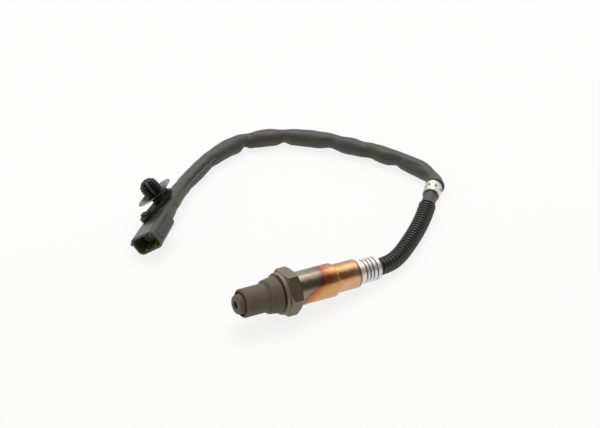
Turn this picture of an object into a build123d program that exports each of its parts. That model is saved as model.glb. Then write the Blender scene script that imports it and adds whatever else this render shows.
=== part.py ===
from build123d import *

import os
from math import atan2, cos, pi, radians, sin, sqrt, tan

# Heated oxygen sensor with its lead, connector and retaining clip (millimetres, +Z up).
# The sensor lies on a flat surface (Z = 0) with its axis over the X axis, tip towards -X. It
# rests on one corner of its hexagon and on the rear edge of its crimp, so its tip points up a
# little. The origin is on the surface, under the middle of the rigid sensor. The lead and the
# connector lie on the same surface.

os.makedirs("parts", exist_ok=True)

# ---------------------------------------------------------------- driving dimensions, sensor
# Stations are distances along the sensor's axis from the middle of its hexagon, positive
# towards the lead.
hex_flats = 22.0            # across flats, for a 22 mm spanner
hex_front = -3.6
hex_rear = 3.7
hex_face_radius = 10.75     # circle that the 30 degree chamfers leave on each end face
hex_roll = 10.4             # turn of the hexagon about the axis, degrees
hex_crown = 0.03            # bulge of the turned chamfers
hex_margin = 0.3            # of the turned shape beyond the corners
joining = 0.5               # overlap of turned lengths joined to the hexagon

thread_diameter = 17.74     # M18 x 1.5
thread_pitch = 1.5
thread_depth = 0.92
thread_front = -10.6
thread_rear = -5.8
thread_lead = 0.7           # from the thread's front to its first crest
thread_flat = 0.35          # width of a crest
thread_flank = 0.85         # from a crest's front to the root behind it
thread_runout = 0.3
neck_radius = 7.9           # relief between thread and hexagon

collar_front = -14.0        # collar that holds the protection tubes
collar_radius = 6.25
tube_seat = -12.0           # floor of the collar's recess
front_bore_radius = 3.2
front_bore_end = -9.0
bore_radius = 5.5
shell_rear = 10.0
rear_neck_radius = 8.2      # the housing tube is pressed over this neck

outer_tube_radius = 5.5
outer_tube_front = -24.6
outer_tube_wall = 0.45
outer_tube_round = 0.4
outer_holes_at = -16.5
inner_tube_radius = 4.1
inner_tube_front = -23.0
inner_tube_wall = 0.35
inner_holes_at = -20.5
inner_flange = 0.5
gas_hole = 2.0
inner_gas_hole = 1.4
gas_hole_count = 6

element_width = 4.2
element_height = 1.6
element_front = -22.0
element_rear = 30.0
talc_front = -3.2           # packing around the element, in the shell's bore
talc_rear = 3.0
press_ring_front = 8.6
press_ring_bore = 3.4

cap_front = -30.1           # end of the cap's nose
cap_rim = -27.1             # rim around the nose
cap_step = -13.4            # where the narrow part begins to widen
cap_step_length = 0.9
cap_rear = -6.5
cap_radius = 7.52
cap_wide_front = 8.85
cap_wide_rear = 9.75
cap_nose_radius = 5.0
cap_nose_base = 5.25
cap_nose_round = 0.9
cap_bevel = 0.6             # outer edge of the rim
cap_groove_outer = 6.55     # groove between the nose and the rim
cap_groove_floor = -25.9
cap_dimple_radius = 2.1
cap_dimple_depth = 1.5
cap_cavity_front = -25.0    # room for the protection tubes
cap_cavity_radius = 6.5
cap_thread_stop = 0.4       # ledge in front of the thread
cap_thread_start = 0.7
cap_lead_in = 0.8

gasket_thickness = 2.0
gasket_radius = 10.95
gasket_bore = 8.95
gasket_fold = 0.4           # sheet thickness of the folded ring
gasket_round = 0.35

tube_radius = 8.85          # wide part of the housing tube
tube_rim = 26.9
tube_rim_round = 0.7
tube_step = 0.5             # length of the shoulder
tube_narrow = 7.6           # narrow part
tube_rear = 41.6
tube_wall = 0.6
tube_rear_round = 0.9

crimp_radius = 6.4
crimp_rear = 55.5
crimp_taper = 1.5           # length of the turned-in rear edge
crimp_front = 38.2
crimp_wall = 0.75
crimp_flange = 2.0          # length of the flange inside the housing tube
crimp_end_radius = 4.75
crimp_end_bore = 4.0
crimp_end_wall = 0.8
crimp_grooves = (45.2, 47.3, 49.35, 51.8)
crimp_groove_depth = 0.45
crimp_groove_width = 1.15

holder_radius = 6.6
holder_front = 16.0
holder_rear = 36.0
holder_slot = 6.4           # square room for the contacts
holder_slot_rear = 31.5
holder_spring_start = 3.0   # from the holder's front
holder_spring_length = 4.0
contact_width = 1.2
contact_gauge = 0.3
contact_offset = 1.1        # from the element's middle line
contact_front = 18.5
contact_touch = 22.5        # where the contacts press on the element
contact_rise = 25.5
contact_lead = 0.7          # how far the contacts' front ends stand off the element
contact_bow = 0.5
wire_diameter = 1.7
wire_offset = 2.2
grommet_rear = 53.2

slip = 0.05                 # clearance of pieces pushed together by hand
slide = 0.1                 # clearance around the ceramic element

# ---------------------------------------------------------------- driving dimensions, lead
lay_height = 4.72           # height of the lead's centre line over the surface
hose_diameter = 9.2         # corrugated hose
cuff_diameter = 7.5         # smooth end of the hose
ferrule_diameter = 9.4
ferrule_length = 8.7
ferrule_edge = 0.4
ferrule_dimples = 8
ferrule_dimple_radius = 0.8
ferrule_dimple_depth = 0.4
cuff_length = 9.5           # of the cuff in the open
cuff_stop = 1.0             # the cuff ends this far inside the ferrule
straight_exit = 2.4         # straight start of the hose
ferrule_run = 3.0           # straight start of the sleeved cable
boot_entry_run = 5.5        # straight end of the sleeved cable
sleeve_diameter = 9.4       # fabric-covered cable

# ---------------------------------------------------------------- driving dimensions, connector
mouth_x, mouth_y = -41.0, 74.1   # middle of the mouth, from under the hexagon
connector_heading = 40.5    # from +X towards +Y, mouth to lead, degrees
connector_roll = 40.0       # turn of the connector about its own axis, degrees
mouth_width, mouth_thickness = 16.8, 10.8
shoulder_width, shoulder_thickness = 15.4, 10.2
housing_length = 20.0
mouth_corner = 3.0
housing_wall = 1.15
mouth_depth = 10.5
rail_width, rail_rise = 4.6, 0.8     # guide rail on each narrow side
rail_start = 2.2                     # from the mouth
rail_end = 18.6
lug_length, lug_width, lug_rise = 2.0, 1.4, 0.9
lug_offset = -2.6                    # from the middle of the narrow side
key_width, key_rise, key_length = 1.4, 0.8, 7.0
key_offset = 3.2
key_start = 0.8
boot_width, boot_thickness = 12.2, 9.4
boot_corner = 3.6
boot_length = 12.0
core_radius = 3.4
pin_count = 4
pin_pitch = 2.6
pin_radius = 0.6
pin_tip = 7.6               # from the mouth
lock_width, lock_thickness, lock_height = 13.0, 7.0, 2.0
seal_depth = 4.6
pocket_width, pocket_thickness = 12.4, 7.2
pocket_corner = 1.5

# ---------------------------------------------------------------- driving dimensions, clip
clip_reach = 31.0           # stud's distance from the mouth
clip_gap = 0.15             # between the connector and the clip's plate
plate_length, plate_width, plate_thickness = 26.0, 8.0, 1.8
plate_turn = 17.0           # of the plate from the connector's length, degrees
plate_offset = -4.0         # of the plate's middle from the stud, towards the mouth
rib_length, rib_width, rib_rise = 7.8, 4.2, 1.4
toe_length, toe_thickness = 6.0, 1.2
foot_radius = 3.7
foot_rise = 0.3
stud_radius = 2.3
fin_radii = (4.5, 5.1, 5.2, 5.2, 5.1, 4.7)
fin_first = 4.9
fin_pitch = 1.45
fin_crest, fin_thickness, fin_root = 0.3, 0.6, 0.8
head_radius, head_rise = 3.6, 1.3
umbrella_length, umbrella_width = 22.0, 17.0
umbrella_turn = 30.0
umbrella_root, umbrella_rim = 3.8, 6.4
umbrella_wall = 0.8
umbrella_web = 0.6          # of the umbrella around the stud

# ---------------------------------------------------------------- how the sensor lies
hex_corner = hex_flats / sqrt(3)
hex_contact = hex_rear - (hex_corner - hex_face_radius) * tan(radians(30))
corner_drop = hex_corner * cos(radians(30 - hex_roll))
edge_contact = crimp_rear - crimp_taper
tilt = atan2(corner_drop - crimp_radius, edge_contact - hex_contact)
axis_height = hex_contact * sin(tilt) + corner_drop * cos(tilt)

# The rigid sensor's box is centred over the origin.
front_reach = cap_front * cos(tilt) - cap_nose_radius * sin(tilt)
rear_reach = crimp_rear * cos(tilt) + crimp_end_radius * sin(tilt)
shift = -(front_reach + rear_reach) / 2

along = Vector(cos(tilt), 0, -sin(tilt))
upward = Vector(sin(tilt), 0, cos(tilt))
centre = Vector(shift, 0, axis_height)
profile_plane = Plane(origin=centre, x_dir=along, z_dir=(0, -1, 0))
sensor_axis = Axis(centre, along)


def section(station):
    """Plane square to the sensor's axis at a station, local X along +Y."""
    return Plane(origin=centre + along * station, x_dir=(0, 1, 0), z_dir=along)


def outline(*points):
    """Close corner points (station, radius) into a face of the sketch being made."""
    with BuildLine() as edge:
        Polyline(*points, close=True)
    make_face(edge.edges())


def finish(piece, name):
    """Label a finished piece and write it."""
    piece.part.label = name
    export_step(piece.part, "parts/" + name + ".step")


# ================================================================ front end
with BuildPart() as transit_cap:
    thread_grip = thread_diameter / 2 + slip
    stop = thread_front - cap_thread_stop
    with BuildSketch(profile_plane) as cap_profile:
        outline(
            (cap_front + cap_dimple_depth, 0), (cap_front + cap_dimple_depth, cap_dimple_radius),
            (cap_front, cap_dimple_radius), (cap_front, cap_nose_radius),
            (cap_rim, cap_nose_base), (cap_groove_floor, cap_nose_base),
            (cap_groove_floor, cap_groove_outer), (cap_rim, cap_groove_outer),
            (cap_rim, cap_radius - cap_bevel), (cap_rim + cap_bevel, cap_radius),
            (cap_step, cap_radius), (cap_step + cap_step_length, cap_wide_front),
            (cap_rear, cap_wide_rear), (cap_rear, thread_grip),
            (thread_front + cap_thread_start, thread_grip), (stop, thread_grip - cap_lead_in),
            (stop, cap_cavity_radius), (cap_cavity_front, cap_cavity_radius),
            (cap_cavity_front, 0),
        )
        nose_corner = cap_profile.vertices().sort_by_distance((cap_front, cap_nose_radius))[0]
        fillet(nose_corner, cap_nose_round)
    revolve(axis=sensor_axis)
finish(transit_cap, "transit_cap")

with BuildPart() as sensor_shell:
    with BuildSketch(section(hex_front)):
        RegularPolygon(hex_corner, 6, rotation=-hex_roll)
    extrude(amount=hex_rear - hex_front)
    over_corner = hex_corner + hex_margin
    chamfer_drop = (over_corner - hex_face_radius) * tan(radians(30))
    bulge_along = chamfer_drop / 2 - hex_crown * cos(radians(30))
    bulge_radius = (hex_face_radius + over_corner) / 2 + hex_crown * sin(radians(30))
    with BuildSketch(profile_plane):
        with BuildLine() as turned:
            Polyline((hex_rear, hex_face_radius), (hex_rear, 0), (hex_front, 0),
                     (hex_front, hex_face_radius))
            ThreePointArc((hex_front, hex_face_radius), (hex_front + bulge_along, bulge_radius),
                          (hex_front + chamfer_drop, over_corner))
            Line((hex_front + chamfer_drop, over_corner), (hex_rear - chamfer_drop, over_corner))
            ThreePointArc((hex_rear - chamfer_drop, over_corner),
                          (hex_rear - bulge_along, bulge_radius), (hex_rear, hex_face_radius))
        make_face(turned.edges())
    revolve(axis=sensor_axis, mode=Mode.INTERSECT)
    crest = thread_diameter / 2
    root = crest - thread_depth
    turns = []
    turn_count = 3
    for turn in range(turn_count):
        start = thread_front + thread_lead + turn * thread_pitch
        turns += [(start, crest), (start + thread_flat, crest), (start + thread_flank, root)]
    with BuildSketch(profile_plane):
        outline(
            (collar_front, 0), (collar_front, collar_radius), (thread_front, collar_radius),
            (thread_front, root), *turns, (thread_rear, crest), (thread_rear + thread_runout, neck_radius),
            (hex_front + joining, neck_radius), (hex_front + joining, 0),
        )
    revolve(axis=sensor_axis)
    with BuildSketch(profile_plane):
        outline((hex_rear - joining, 0), (hex_rear - joining, rear_neck_radius),
                (shell_rear, rear_neck_radius), (shell_rear, 0))
    revolve(axis=sensor_axis)
    with BuildSketch(profile_plane):
        outline(
            (collar_front - 1, 0), (collar_front - 1, outer_tube_radius + slip),
            (tube_seat, outer_tube_radius + slip), (tube_seat, front_bore_radius),
            (front_bore_end, front_bore_radius), (front_bore_end, bore_radius),
            (shell_rear + 1, bore_radius), (shell_rear + 1, 0),
        )
    revolve(axis=sensor_axis, mode=Mode.SUBTRACT)
finish(sensor_shell, "sensor_shell")

with BuildPart() as seat_gasket:
    gasket_front = hex_front - gasket_thickness
    with BuildSketch(profile_plane) as gasket_profile:
        outline(
            (gasket_front, gasket_bore), (gasket_front, gasket_radius),
            (hex_front, gasket_radius), (hex_front, gasket_bore),
            (hex_front - gasket_fold, gasket_bore),
            (hex_front - gasket_fold, gasket_radius - gasket_fold),
            (gasket_front + gasket_fold, gasket_radius - gasket_fold),
            (gasket_front + gasket_fold, gasket_bore),
        )
        outer = gasket_profile.vertices().sort_by(Axis.Y)[-2:]
        fillet(outer, gasket_round)
    revolve(axis=sensor_axis)
finish(seat_gasket, "seat_gasket")


def gas_holes(station, tube, count, start_angle, diameter):
    """Cut a ring of round holes through one protection tube's wall."""
    for index in range(count):
        angle = radians(start_angle + index * 360 / count)
        outward = Vector(0, 1, 0) * cos(angle) + upward * sin(angle)
        with BuildSketch(Plane(origin=centre + along * station, x_dir=along, z_dir=outward)) as hole:
            Circle(diameter / 2)
        extrude(hole.sketch, amount=tube + 1, mode=Mode.SUBTRACT)


with BuildPart() as outer_protection_tube:
    with BuildSketch(profile_plane) as tube_profile:
        outline(
            (tube_seat, outer_tube_radius), (outer_tube_front, outer_tube_radius),
            (outer_tube_front, gas_hole / 2), (outer_tube_front + outer_tube_wall, gas_hole / 2),
            (outer_tube_front + outer_tube_wall, outer_tube_radius - outer_tube_wall),
            (tube_seat, outer_tube_radius - outer_tube_wall),
        )
        front_edge = tube_profile.vertices().sort_by_distance((outer_tube_front, outer_tube_radius))
        fillet(front_edge[0], outer_tube_round)
    revolve(axis=sensor_axis)
    gas_holes(outer_holes_at, outer_tube_radius, gas_hole_count, 30, gas_hole)
finish(outer_protection_tube, "outer_protection_tube")

with BuildPart() as inner_protection_tube:
    flange = outer_tube_radius - outer_tube_wall - slip
    with BuildSketch(profile_plane):
        outline(
            (tube_seat, inner_tube_radius - inner_tube_wall), (tube_seat, flange),
            (tube_seat - inner_flange, flange), (tube_seat - inner_flange, inner_tube_radius),
            (inner_tube_front, inner_tube_radius), (inner_tube_front, 0),
            (inner_tube_front + inner_tube_wall, 0),
            (inner_tube_front + inner_tube_wall, inner_tube_radius - inner_tube_wall),
        )
    revolve(axis=sensor_axis)
    gas_holes(inner_holes_at, inner_tube_radius, gas_hole_count, 0, inner_gas_hole)
finish(inner_protection_tube, "inner_protection_tube")

# ================================================================ inside the shell
with BuildPart() as sensing_element:
    with BuildSketch(section(element_front)):
        Rectangle(element_width, element_height)
    extrude(amount=element_rear - element_front)
finish(sensing_element, "sensing_element")

packing = (
    ("front_ceramic_bushing", front_bore_end, talc_front),
    ("talc_seal", talc_front, talc_rear),
    ("rear_ceramic_bushing", talc_rear, press_ring_front),
)
for packing_name, packing_front, packing_rear in packing:
    with BuildPart() as packing_piece:
        with BuildSketch(section(packing_front)):
            Circle(bore_radius - slip)
            Rectangle(element_width + slide, element_height + slide, mode=Mode.SUBTRACT)
        extrude(amount=packing_rear - packing_front)
    finish(packing_piece, packing_name)

with BuildPart() as press_ring:
    with BuildSketch(section(press_ring_front)):
        Circle(bore_radius - slip)
        Circle(press_ring_bore, mode=Mode.SUBTRACT)
    extrude(amount=shell_rear - press_ring_front)
finish(press_ring, "press_ring")

# ================================================================ housing tube and crimp
with BuildPart() as housing_tube:
    tube_lip = crimp_radius + slip
    with BuildSketch(profile_plane) as housing_profile:
        outline(
            (hex_rear, tube_radius - tube_wall), (hex_rear, tube_radius),
            (tube_rim, tube_radius), (tube_rim + tube_step, tube_narrow),
            (tube_rear, tube_narrow), (tube_rear, tube_lip),
            (tube_rear - tube_wall, tube_lip), (tube_rear - tube_wall, tube_narrow - tube_wall),
            (tube_rim + tube_step - tube_wall, tube_narrow - tube_wall),
            (tube_rim - tube_wall, tube_radius - tube_wall),
        )
        rim = housing_profile.vertices().sort_by_distance((tube_rim, tube_radius))[0]
        fillet(rim, tube_rim_round)
        rear = housing_profile.vertices().sort_by_distance((tube_rear, tube_narrow))[0]
        fillet(rear, tube_rear_round)
        shoulder_end = (tube_rim + tube_step, tube_narrow)
        shoulder = housing_profile.vertices().sort_by_distance(shoulder_end)[0]
        fillet(shoulder, tube_step - 0.1)
    revolve(axis=sensor_axis)
finish(housing_tube, "housing_tube")


def at_each_wire():
    """Places of the four wires around the axis."""
    return GridLocations(2 * wire_offset, 2 * wire_offset, 2, 2)


with BuildPart() as contact_holder:
    with BuildSketch(section(holder_front)):
        Circle(holder_radius)
    extrude(amount=holder_rear - holder_front)
    with BuildSketch(section(holder_front)):
        Rectangle(holder_slot, holder_slot)
    extrude(amount=holder_slot_rear - holder_front, mode=Mode.SUBTRACT)
    with BuildSketch(section(holder_slot_rear)):
        with at_each_wire():
            Circle(wire_diameter / 2 + slip)
    extrude(amount=holder_rear - holder_slot_rear, mode=Mode.SUBTRACT)
finish(contact_holder, "contact_holder")

with BuildPart() as holder_spring:
    with BuildSketch(section(holder_front + holder_spring_start)):
        Circle(tube_radius - tube_wall - slip)
        Circle(holder_radius + slip, mode=Mode.SUBTRACT)
    extrude(amount=holder_spring_length)
finish(holder_spring, "holder_spring")

with BuildPart() as contact_springs:
    touch = element_height / 2
    back = touch + contact_gauge
    for side in (-1, 1):
        for face in (-1, 1):
            inner_edge = Vector(0, side * contact_offset - contact_width / 2, 0)
            spring_plane = Plane(origin=centre + inner_edge, x_dir=along, z_dir=(0, -1, 0))
            with BuildSketch(spring_plane):
                outline(
                    (contact_front, face * (touch + contact_lead)), (contact_touch, face * touch),
                    (contact_rise, face * (touch + contact_bow)), (holder_slot_rear, face * wire_offset),
                    (holder_slot_rear, face * (wire_offset + contact_gauge)),
                    (contact_rise - contact_gauge, face * (back + contact_bow)),
                    (contact_touch, face * back), (contact_front, face * (back + contact_lead)),
                )
            extrude(amount=-contact_width)
finish(contact_springs, "contact_springs")

with BuildPart() as lead_wires:
    with BuildSketch(section(holder_slot_rear)):
        with at_each_wire():
            Circle(wire_diameter / 2)
    extrude(amount=crimp_rear - slide - holder_slot_rear)
finish(lead_wires, "lead_wires")

with BuildPart() as cable_grommet:
    with BuildSketch(section(holder_rear)):
        Circle(tube_narrow - tube_wall - slide)
    extrude(amount=crimp_front - holder_rear)
    with BuildSketch(section(crimp_front)):
        Circle(crimp_radius - crimp_wall - slip)
    extrude(amount=grommet_rear - crimp_front)
    with BuildSketch(section(holder_rear)):
        with at_each_wire():
            Circle(wire_diameter / 2 + slip)
    extrude(amount=crimp_rear - holder_rear, mode=Mode.SUBTRACT)
finish(cable_grommet, "cable_grommet")

with BuildPart() as crimp_shell:
    flange_radius = tube_narrow - tube_wall - slip
    flange_rear = crimp_front + crimp_flange
    crimp_bore = crimp_radius - crimp_wall
    floor = crimp_radius - crimp_groove_depth
    waves = []
    for groove in crimp_grooves:
        half = crimp_groove_width / 2
        waves += [(groove - half, crimp_radius), (groove - half / 2, floor),
                  (groove + half / 2, floor), (groove + half, crimp_radius)]
    with BuildSketch(profile_plane):
        outline(
            (crimp_front, crimp_bore), (crimp_front, flange_radius),
            (flange_rear, flange_radius), (flange_rear, crimp_radius), *waves,
            (edge_contact, crimp_radius), (crimp_rear, crimp_end_radius),
            (crimp_rear, crimp_end_bore), (crimp_rear - crimp_end_wall, crimp_end_bore),
            (grommet_rear + slip, crimp_bore),
        )
    revolve(axis=sensor_axis)
finish(crimp_shell, "crimp_shell")


# ================================================================ lead
def arc_radii(points):
    """Radius for each corner: 0.45 of its shorter run, over the tangent of half the turn."""
    radii = []
    for before, corner, after in zip(points, points[1:], points[2:]):
        arriving = corner - before
        leaving = after - corner
        half_turn = radians(arriving.get_angle(leaving)) / 2
        radii.append(0.45 * min(arriving.length, leaving.length) / tan(half_turn))
    return radii


def check_tube(piece, name, points, radii, diameter):
    """Print the corner radii, and the tube's volume beside its section times its length."""
    runs = [(after - before).length for before, after in zip(points, points[1:])]
    turns = [(corner - before).get_angle(after - corner)
             for before, corner, after in zip(points, points[1:], points[2:])]
    path_length = sum(runs) + sum(
        radius * (radians(turn) - 2 * tan(radians(turn) / 2)) for radius, turn in zip(radii, turns)
    )
    expected = path_length * pi * diameter ** 2 / 4
    print(name, "length %.1f" % path_length, "volume %.0f" % piece.part.volume, "expected %.0f" % expected)
    print("  runs", [round(run, 1) for run in runs])
    print("  turns", [round(turn) for turn in turns])
    print("  radii", [round(radius) for radius in radii])


def on_surface(points):
    """Route points given from under the hexagon, moved to the part's own origin."""
    return [Vector(x + shift, y, z) for x, y, z in points]


lead_exit = centre + along * crimp_rear
hose_route = [lead_exit, lead_exit + along * straight_exit] + on_surface([
    (60.7, 0.4, 5.62), (64.8, 1.4, 5.2), (69.1, 3.2, 4.88), (73.7, 5.8, 4.74),
    (79.8, 9.8, lay_height), (88.2, 15.8, lay_height), (96.6, 22.7, lay_height),
    (102.6, 28.3, lay_height), (106.6, 32.4, lay_height),
])
hose_radii = arc_radii(hose_route)
with BuildPart() as corrugated_hose:
    with BuildLine():
        FilletPolyline(*hose_route, radius=hose_radii)
    with BuildSketch(Plane(origin=lead_exit, z_dir=along)):
        Circle(hose_diameter / 2)
    sweep()
finish(corrugated_hose, "corrugated_hose")
check_tube(corrugated_hose, "corrugated_hose", hose_route, hose_radii, hose_diameter)

hose_end = hose_route[-1]
hose_heading = (hose_route[-1] - hose_route[-2]).normalized()
ferrule_start = hose_end + hose_heading * cuff_length
ferrule_end = ferrule_start + hose_heading * ferrule_length

with BuildPart() as hose_cuff:
    with BuildSketch(Plane(origin=hose_end, z_dir=hose_heading)):
        Circle(cuff_diameter / 2)
    extrude(amount=cuff_length + ferrule_length - cuff_stop)
finish(hose_cuff, "hose_cuff")

with BuildPart() as cable_ferrule:
    ferrule_radius = ferrule_diameter / 2
    ferrule_bore = cuff_diameter / 2 + slip
    ferrule_plane = Plane(origin=ferrule_start, x_dir=hose_heading, z_dir=(0, 0, 1))
    with BuildSketch(ferrule_plane):
        outline(
            (0, ferrule_bore), (0, ferrule_radius - ferrule_edge), (ferrule_edge, ferrule_radius),
            (ferrule_length - ferrule_edge, ferrule_radius),
            (ferrule_length, ferrule_radius - ferrule_edge), (ferrule_length, ferrule_bore),
        )
    revolve(axis=Axis(ferrule_start, hose_heading))
    ferrule_middle = ferrule_start + hose_heading * (ferrule_length / 2)
    ferrule_side = hose_heading.cross(Vector(0, 0, 1))
    for index in range(ferrule_dimples):
        angle = radians((index + 0.5) * 360 / ferrule_dimples)
        outward = ferrule_side * cos(angle) + Vector(0, 0, 1) * sin(angle)
        dimple_floor = ferrule_middle + outward * (ferrule_radius - ferrule_dimple_depth)
        with BuildSketch(Plane(origin=dimple_floor, x_dir=hose_heading, z_dir=outward)):
            Circle(ferrule_dimple_radius)
        extrude(amount=ferrule_dimple_depth + ferrule_edge, mode=Mode.SUBTRACT)
finish(cable_ferrule, "cable_ferrule")

connector_turn = radians(connector_heading)
roll = radians(connector_roll)
corner_rise = mouth_corner * (sin(roll) + cos(roll) - 1)
connector_height = (mouth_width * sin(roll) + mouth_thickness * cos(roll)) / 2 - corner_rise
mouth = Vector(mouth_x + shift, mouth_y, connector_height)
lengthwise = Vector(cos(connector_turn), sin(connector_turn), 0)
level_side = Vector(sin(connector_turn), -cos(connector_turn), 0)
crosswise = level_side * cos(roll) + Vector(0, 0, 1) * sin(roll)
clipward = Vector(0, 0, 1) * cos(roll) - level_side * sin(roll)
boot_end = mouth + lengthwise * (housing_length + boot_length)

sleeve_route = [ferrule_end, ferrule_end + hose_heading * ferrule_run] + on_surface([
    (122.9, 50.2, lay_height), (123.6, 53.1, lay_height), (123.5, 56.1, lay_height),
    (122.5, 59.6, lay_height), (120.6, 64.6, lay_height), (118.0, 70.4, lay_height),
    (114.5, 77.3, lay_height), (109.8, 84.8, lay_height), (103.8, 93.7, lay_height),
    (95.1, 104.9, lay_height), (84.7, 115.0, lay_height), (71.9, 124.5, lay_height),
    (63.4, 128.1, lay_height), (54.2, 130.7, lay_height), (44.4, 131.3, lay_height),
    (35.1, 129.0, lay_height), (22.9, 124.3, lay_height), (9.7, 116.8, lay_height),
    (0.7, 110.6, 5.4), (-6.2, 104.9, 6.9),
]) + [boot_end + lengthwise * boot_entry_run, boot_end]
sleeve_radii = arc_radii(sleeve_route)
with BuildPart() as cable_sleeve:
    with BuildLine():
        FilletPolyline(*sleeve_route, radius=sleeve_radii)
    with BuildSketch(Plane(origin=ferrule_end, z_dir=sleeve_route[1] - sleeve_route[0])):
        Circle(sleeve_diameter / 2)
    sweep()
finish(cable_sleeve, "cable_sleeve")
check_tube(cable_sleeve, "cable_sleeve", sleeve_route, sleeve_radii, sleeve_diameter)


# ================================================================ connector
def across(reach):
    """Plane square to the connector, at a distance from its mouth."""
    return Plane(origin=mouth + lengthwise * reach, x_dir=crosswise, z_dir=lengthwise)


def at_each_pin():
    """Places of the pins in the connector's cross-section."""
    return GridLocations(pin_pitch, 0, pin_count, 1)


def connector_box(reach, length, w_middle, w_size, m_middle, m_size, mode=Mode.ADD):
    """Add or cut a box: distance from the mouth, then middle and size on both cross axes."""
    with BuildSketch(across(reach)) as block:
        with Locations((w_middle, m_middle)):
            Rectangle(w_size, m_size)
    extrude(block.sketch, amount=length, mode=mode)


with BuildPart() as connector_housing:
    inner_width = mouth_width - 2 * housing_wall
    inner_thickness = mouth_thickness - 2 * housing_wall
    with BuildSketch(across(0)):
        RectangleRounded(mouth_width, mouth_thickness, mouth_corner)
    with BuildSketch(across(housing_length)):
        RectangleRounded(shoulder_width, shoulder_thickness, mouth_corner)
    loft()
    for side in (-1, 1):
        rail_middle = side * (shoulder_width / 2 - housing_wall + rail_rise)
        connector_box(rail_start, rail_end - rail_start, rail_middle, 2 * housing_wall, 0, rail_width)
    lug_middle = -(mouth_width - lug_width) / 2 - lug_rise / 2
    connector_box(0, lug_length, lug_middle, lug_width + lug_rise, lug_offset, lug_width)
    with BuildSketch(across(0)):
        RectangleRounded(inner_width, inner_thickness, mouth_corner - housing_wall)
    extrude(amount=mouth_depth, mode=Mode.SUBTRACT)
    for side in (-1, 1):
        key_middle = (inner_thickness - key_rise + housing_wall) / 2
        connector_box(key_start, key_length, side * key_offset, key_width,
                      key_middle, key_rise + housing_wall)
    with BuildSketch(across(housing_length)):
        RectangleRounded(pocket_width, pocket_thickness, pocket_corner)
    extrude(amount=-seal_depth, mode=Mode.SUBTRACT)
    with BuildSketch(across(mouth_depth)):
        with at_each_pin():
            Circle(pin_radius + slip)
    extrude(amount=housing_length - mouth_depth, mode=Mode.SUBTRACT)
finish(connector_housing, "connector_housing")

with BuildPart() as connector_pins:
    with BuildSketch(across(pin_tip)):
        with at_each_pin():
            Circle(pin_radius)
    extrude(amount=housing_length - seal_depth - pin_tip)
finish(connector_pins, "connector_pins")

with BuildPart() as pin_lock:
    with BuildSketch(across(mouth_depth - lock_height)):
        RectangleRounded(lock_width, lock_thickness, pocket_corner)
        with at_each_pin():
            Circle(pin_radius + slip, mode=Mode.SUBTRACT)
    extrude(amount=lock_height)
finish(pin_lock, "pin_lock")

with BuildPart() as wire_seal:
    with BuildSketch(across(housing_length - seal_depth)):
        RectangleRounded(pocket_width - 2 * slip, pocket_thickness - 2 * slip, pocket_corner - slip)
    extrude(amount=seal_depth)
finish(wire_seal, "wire_seal")

with BuildPart() as connector_boot:
    with BuildSketch(across(housing_length)):
        RectangleRounded(boot_width, boot_thickness, boot_corner)
    with BuildSketch(across(housing_length + boot_length)):
        RectangleRounded(sleeve_diameter, sleeve_diameter, sleeve_diameter / 2 - slip)
    loft()
    with BuildSketch(across(housing_length)):
        Circle(core_radius + slip)
    extrude(amount=boot_length, mode=Mode.SUBTRACT)
finish(connector_boot, "connector_boot")

with BuildPart() as lead_core:
    with BuildSketch(across(housing_length)):
        Circle(core_radius)
    extrude(amount=boot_length)
finish(lead_core, "lead_core")


# ================================================================ retaining clip
clip_rise = shoulder_thickness / 2 + clip_gap


def clip_plane(rise, turn):
    """Plane over the connector's clip face, turned about the stud."""
    angle = radians(turn)
    forward = lengthwise * cos(angle) + crosswise * sin(angle)
    foot = mouth + lengthwise * clip_reach + clipward * (clip_rise + rise)
    return Plane(origin=foot, x_dir=forward, z_dir=clipward)


with BuildPart() as retaining_clip:
    for lift, mode in ((0, Mode.ADD), (umbrella_wall, Mode.SUBTRACT)):
        with BuildSketch(clip_plane(umbrella_root + lift, umbrella_turn)):
            Ellipse(stud_radius + umbrella_web, stud_radius + umbrella_web)
        with BuildSketch(clip_plane(umbrella_rim + lift, umbrella_turn)):
            Ellipse(umbrella_length / 2, umbrella_width / 2)
        loft(mode=mode)
    with BuildSketch(clip_plane(0, plate_turn)):
        with Locations((plate_offset, 0)):
            SlotOverall(plate_length, plate_width)
    extrude(amount=plate_thickness)
    with BuildSketch(clip_plane(plate_thickness, plate_turn)):
        with Locations((rib_length / 2, 0)):
            SlotOverall(rib_length, rib_width)
    extrude(amount=rib_rise)
    toe_middle = plate_offset - (plate_length - toe_length) / 2
    with BuildSketch(clip_plane(plate_thickness, plate_turn)):
        with Locations((toe_middle + toe_length / 4, 0)):
            RectangleRounded(toe_length / 2, plate_width - toe_thickness, toe_thickness / 2)
    extrude(amount=toe_thickness)

    foot_top = plate_thickness + rib_rise + foot_rise
    stud_foot = mouth + lengthwise * clip_reach + clipward * clip_rise
    stud_plane = Plane(origin=stud_foot, x_dir=lengthwise, z_dir=lengthwise.cross(clipward))
    stud_axis = Axis(stud_foot, clipward)
    fins_end = fin_first + len(fin_radii) * fin_pitch
    steps = []
    for index, fin_radius in enumerate(fin_radii):
        rise = fin_first + index * fin_pitch
        steps += [(stud_radius, rise), (fin_radius, rise + fin_crest),
                  (fin_radius, rise + fin_thickness), (stud_radius, rise + fin_root)]
    with BuildSketch(stud_plane):
        outline((0, plate_thickness / 2), (foot_radius, plate_thickness / 2),
                (foot_radius, foot_top), (stud_radius, umbrella_root + umbrella_wall / 2), *steps,
                (head_radius, fins_end), (head_radius * 0.8, fins_end + head_rise * 0.6),
                (head_radius * 0.4, fins_end + head_rise), (0, fins_end + head_rise))
    revolve(axis=stud_axis)
finish(retaining_clip, "retaining_clip")
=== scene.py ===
import math

import bpy
import numpy as np
from mathutils import Matrix, Quaternion, Vector


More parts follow.
